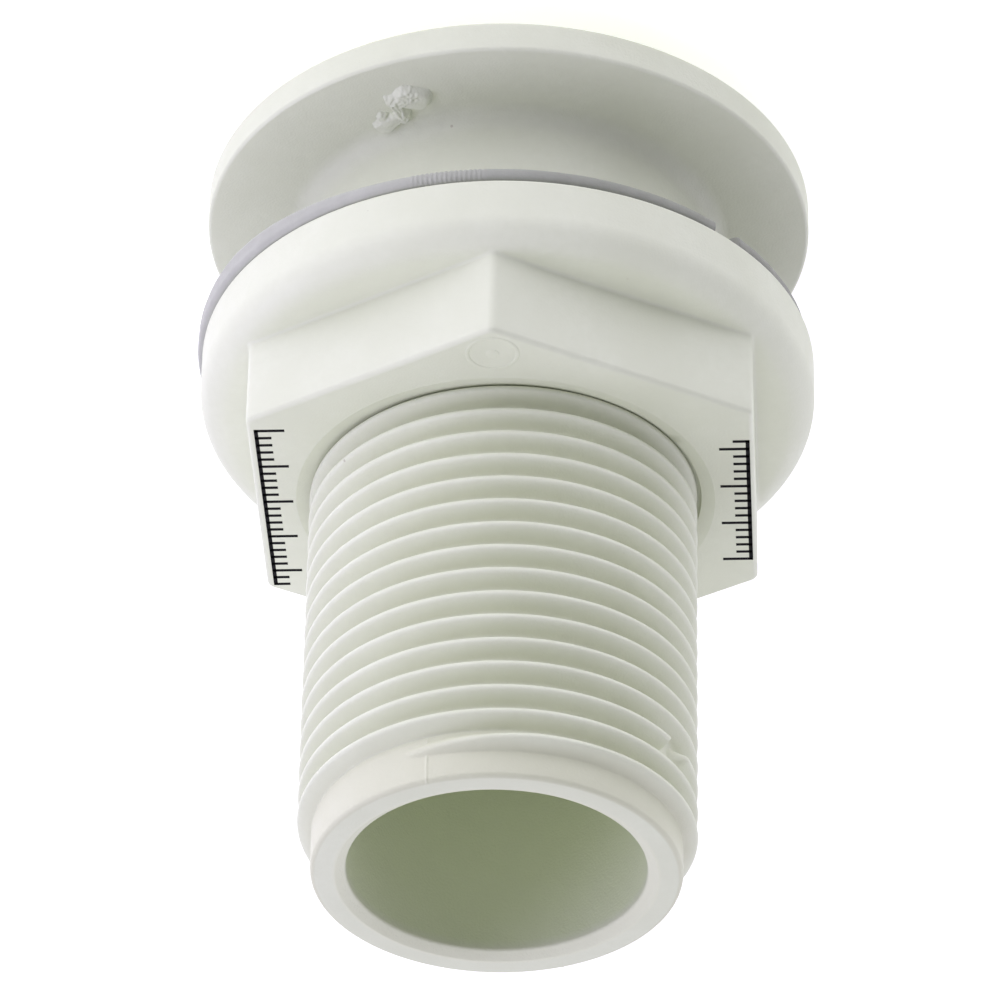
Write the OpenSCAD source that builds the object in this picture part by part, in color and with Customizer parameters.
// Threaded plastic thru hull fitting.
// Three mouldings: a mushroom-head body with a threaded tail, a flanged hex nut that runs on the
// thread, and a flat sealing washer between them. The hull is clamped between head and washer.
// Origin: centre of the head's underside, where the hull seats. +Z runs along the bore to the tail.

/* [Bore] */
// Radius of the waterway through the body
bore_r = 12.45; // [10:0.05:12.9]
// Rounding where the waterway opens through the head
mouth_r = 1.6; // [0.5:0.1:2.5]

/* [Head] */
// Radius of the mushroom head
head_r = 26.45; // [24:0.05:30]
// Height of the head at the waterway
head_h = 6.2; // [5:0.1:9]
// Height of the head's straight rim
rim_h = 2.9; // [1.5:0.1:4]

/* [Neck] */
// Radius of the plain neck under the head
neck_r = 17.6; // [17:0.1:17.6]
// Length of the plain neck
neck_len = 7.5; // [4:0.1:8]
// Fillet between neck and head
neck_fillet = 1.9; // [0.5:0.1:2.5]

/* [Outside thread] */
// Pitch, 11 turns to the inch
pitch = 2.309; // [2.1:0.001:2.5]
// Crest radius
crest_r = 16.62; // [16.5:0.01:16.65]
// Root radius
root_r = 15.145; // [15.1:0.005:15.2]
// Height at which the thread ends
thread_end = 63.2; // [50:0.1:66]
// Height of one crest on the -Y side
crest_phase = 0.7; // [0:0.05:2.3]

/* [Tail] */
// Height of the tail's end face
tail_end = 66.3; // [60:0.1:75]
// Radius of the plain nose
nose_r = 15.4; // [15.2:0.05:15.4]
// Length of the plain nose
nose_len = 3.1; // [2:0.1:5]
// Rounding of the nose's outer edge
nose_edge = 0.5; // [0.2:0.1:0.8]

/* [Nut] */
// Height of the nut's clamping face as it stands
nut_z = 14.1; // [12:0.05:20]
// Height of the whole nut
nut_h = 14.3; // [12:0.1:18]
// Radius of the nut's flange
flange_r = 26.57; // [25.5:0.05:30]
// Height of the nut's flange
flange_h = 6.2; // [3:0.1:8]
// Rounding of the flange's upper edge
flange_edge = 2.5; // [0.5:0.1:2.9]
// Width across the hexagon's flats
across_flats = 42.8; // [40:0.1:46]
// Radius that the hexagon's corners are turned down to
corner_r = 24.6; // [23:0.1:25.4]
// Angle of the hexagon's first corner
hex_turn = -86.6; // [-120:0.1:0]
// Depth of the counterbore that clears the neck
counterbore_h = 3; // [1:0.1:4]
// Root radius of the inside thread
nut_root_r = 16.9; // [16.8:0.05:17]
// Crest radius of the inside thread, which passes over the nose
nut_crest_r = 15.8; // [15.75:0.05:16]

/* [Washer] */
// Thickness
washer_h = 1.4; // [1:0.1:4]
// Outer radius
washer_r = 26.8; // [24:0.05:30]
// Rounding of the outer edges
washer_edge = 0.4; // [0.1:0.1:0.5]
// Width of the notch in the rim
notch_w = 2.3; // [1:0.1:4]
// Depth of the notch
notch_depth = 2.2; // [2:0.1:4]
// Angle of the notch
notch_turn = -135; // [-180:1:180]

/* [Hidden] */
$fn = 96;
// Gap that keeps the washer just off the nut
face_gap = 0.05;
// Radial gap by which nut and washer clear the neck
neck_gap = 0.35;
// Reach of a cut past a face, and of a thread ridge into its wall
eps = 0.3;

// Radius where the head's outer curve meets the rounded mouth, and the curve's own radius
mouth_end_r = bore_r + mouth_r;
dome_drop = head_h - rim_h;
dome_r = (pow(head_r - mouth_end_r, 2) + dome_drop * dome_drop) / (2 * dome_drop);

// Radius of the holes that pass over the neck
relief_r = neck_r + neck_gap;

// Thread form: 55 degrees between flanks, a little play on each flank
flank_slope = tan(27.5);
flank_play = 0.08;
pitch_r = (crest_r + root_r) / 2;
root_half = ridge_half(root_r - pitch_r);
nut_root_half = ridge_half(pitch_r - nut_root_r);

// Straight steps in one turn, and the steps over which a ridge grows and dies away
steps_per_turn = 24;
fade_steps = 6;
least_fade = 0.05;

// Half width of a ridge, out along its flanks by a distance from the pitch radius
function ridge_half(out) = pitch / 4 - flank_play - out * flank_slope;

// Angle at which the outside thread's crest passes a height
function crest_angle(z) = 360 * (z - crest_phase) / pitch - 90;

// Share of full depth at a step, growing from one end and dying away at the other
function fade(step, last) = max(least_fade, min(1, step / fade_steps, (last - step) / fade_steps));

// One cross-section of a ridge, from its foot in the wall to its tip
function ridge_section(angle, z, foot_r, foot_half, tip_r, tip_half) = [
    for (corner = [[foot_r, -foot_half], [tip_r, -tip_half], [tip_r, tip_half], [foot_r, foot_half]])
        [corner[0] * cos(angle), corner[0] * sin(angle), z + corner[1]]
];

// Right-handed helical ridge. out is 1 on a shaft and -1 in a hole; shift moves it along the axis.
module thread_ridge(z_low, z_high, shift, wall_r, tip_r, out) {
    last = floor((z_high - z_low) / pitch * steps_per_turn);
    foot_r = wall_r - out * eps;
    foot_half = ridge_half(out * (foot_r - pitch_r));
    sections = [
        for (step = [0:last])
            let (
                z = z_low + step * pitch / steps_per_turn,
                r = wall_r + (tip_r - wall_r) * fade(step, last)
            )
            ridge_section(crest_angle(z - shift), z, foot_r, foot_half, r, ridge_half(out * (r - pitch_r)))
    ];
    corners = len(sections[0]);
    sides = [
        for (step = [0:last - 1], i = [0:corners - 1])
            let (a = step * corners + i, b = step * corners + (i + 1) % corners)
            [a, b, b + corners, a + corners]
    ];
    first_cap = [for (i = [corners - 1:-1:0]) i];
    last_cap = [for (i = [0:corners - 1]) last * corners + i];
    faces = concat(sides, [first_cap, last_cap]);
    polyhedron(
        [for (section = sections) each section],
        out > 0 ? faces : [for (face = faces) [for (i = [len(face) - 1:-1:0]) face[i]]]
    );
}

module fitting_body() {
    color("ivory") {
        rotate_extrude() {
            head_profile();
            difference() {
                stem_profile();
                translate([-eps, -head_h]) square([bore_r + eps, head_h + tail_end + eps]);
            }
        }
        thread_ridge(neck_len + root_half, thread_end, 0, root_r, crest_r, 1);
    }
}

// Half section of the head: flat underside, straight rim, curved face and rounded mouth
module head_profile() {
    intersection() {
        translate([mouth_end_r, -head_h]) square([head_r - mouth_end_r, head_h]);
        translate([mouth_end_r, dome_r - head_h]) circle(dome_r);
    }
    translate([bore_r, mouth_r - head_h]) square([mouth_r, head_h - mouth_r]);
    translate([mouth_end_r, mouth_r - head_h]) intersection() {
        circle(mouth_r);
        translate([-mouth_r, -mouth_r]) square(mouth_r);
    }
}

// Half section of neck, thread core and nose, before the waterway is cut
module stem_profile() {
    square([root_r, tail_end - nose_edge]);
    square([neck_r, neck_len]);
    difference() {
        square(neck_r + neck_fillet);
        translate([neck_r + neck_fillet, neck_fillet]) circle(neck_fillet);
        translate([0, neck_fillet]) square(neck_r + neck_fillet);
    }
    translate([0, tail_end - nose_len]) square([nose_r, nose_len - nose_edge]);
    square([nose_r - nose_edge, tail_end]);
    translate([nose_r - nose_edge, tail_end - nose_edge]) circle(nose_edge);
}

module flanged_nut() {
    color("ivory") translate([0, 0, nut_z]) {
        difference() {
            union() {
                rotate_extrude() flange_profile();
                intersection() {
                    cylinder(h = nut_h, r = corner_r);
                    rotate([0, 0, hex_turn]) cylinder(h = nut_h, r = across_flats / sqrt(3), $fn = 6);
                }
            }
            translate([0, 0, -eps]) cylinder(h = nut_h + 2 * eps, r = nut_root_r);
            translate([0, 0, -eps]) cylinder(h = counterbore_h + eps, r = relief_r);
            translate([0, 0, nut_h - (relief_r - nut_root_r)])
                cylinder(h = relief_r - nut_root_r + eps, r1 = nut_root_r, r2 = relief_r + eps);
        }
    }
    color("ivory") thread_ridge(
        nut_z + counterbore_h + nut_root_half, nut_z + nut_h - nut_root_half - neck_gap,
        pitch / 2, nut_root_r, nut_crest_r, -1
    );
}

// Half section of the nut's flange, with its upper edge rounded
module flange_profile() {
    square([flange_r - flange_edge, flange_h]);
    square([flange_r, flange_h - flange_edge]);
    translate([flange_r - flange_edge, flange_h - flange_edge]) circle(flange_edge);
}

module sealing_washer() {
    notch_centre = washer_r - notch_depth + notch_w / 2;
    color("thistle") translate([0, 0, nut_z - face_gap - washer_h]) difference() {
        rotate_extrude() translate([relief_r, 0]) washer_profile(washer_r - relief_r);
        rotate([0, 0, notch_turn]) translate([notch_centre, 0, -eps]) {
            cylinder(h = washer_h + 2 * eps, d = notch_w);
            translate([0, -notch_w / 2, 0]) cube([notch_depth, notch_w, washer_h + 2 * eps]);
        }
    }
}

// Section of the washer, with its two outer edges rounded
module washer_profile(width) {
    square([width - washer_edge, washer_h]);
    translate([0, washer_edge]) square([width, washer_h - 2 * washer_edge]);
    for (z = [washer_edge, washer_h - washer_edge])
        translate([width - washer_edge, z]) circle(washer_edge);
}

fitting_body();
flanged_nut();
sealing_washer();
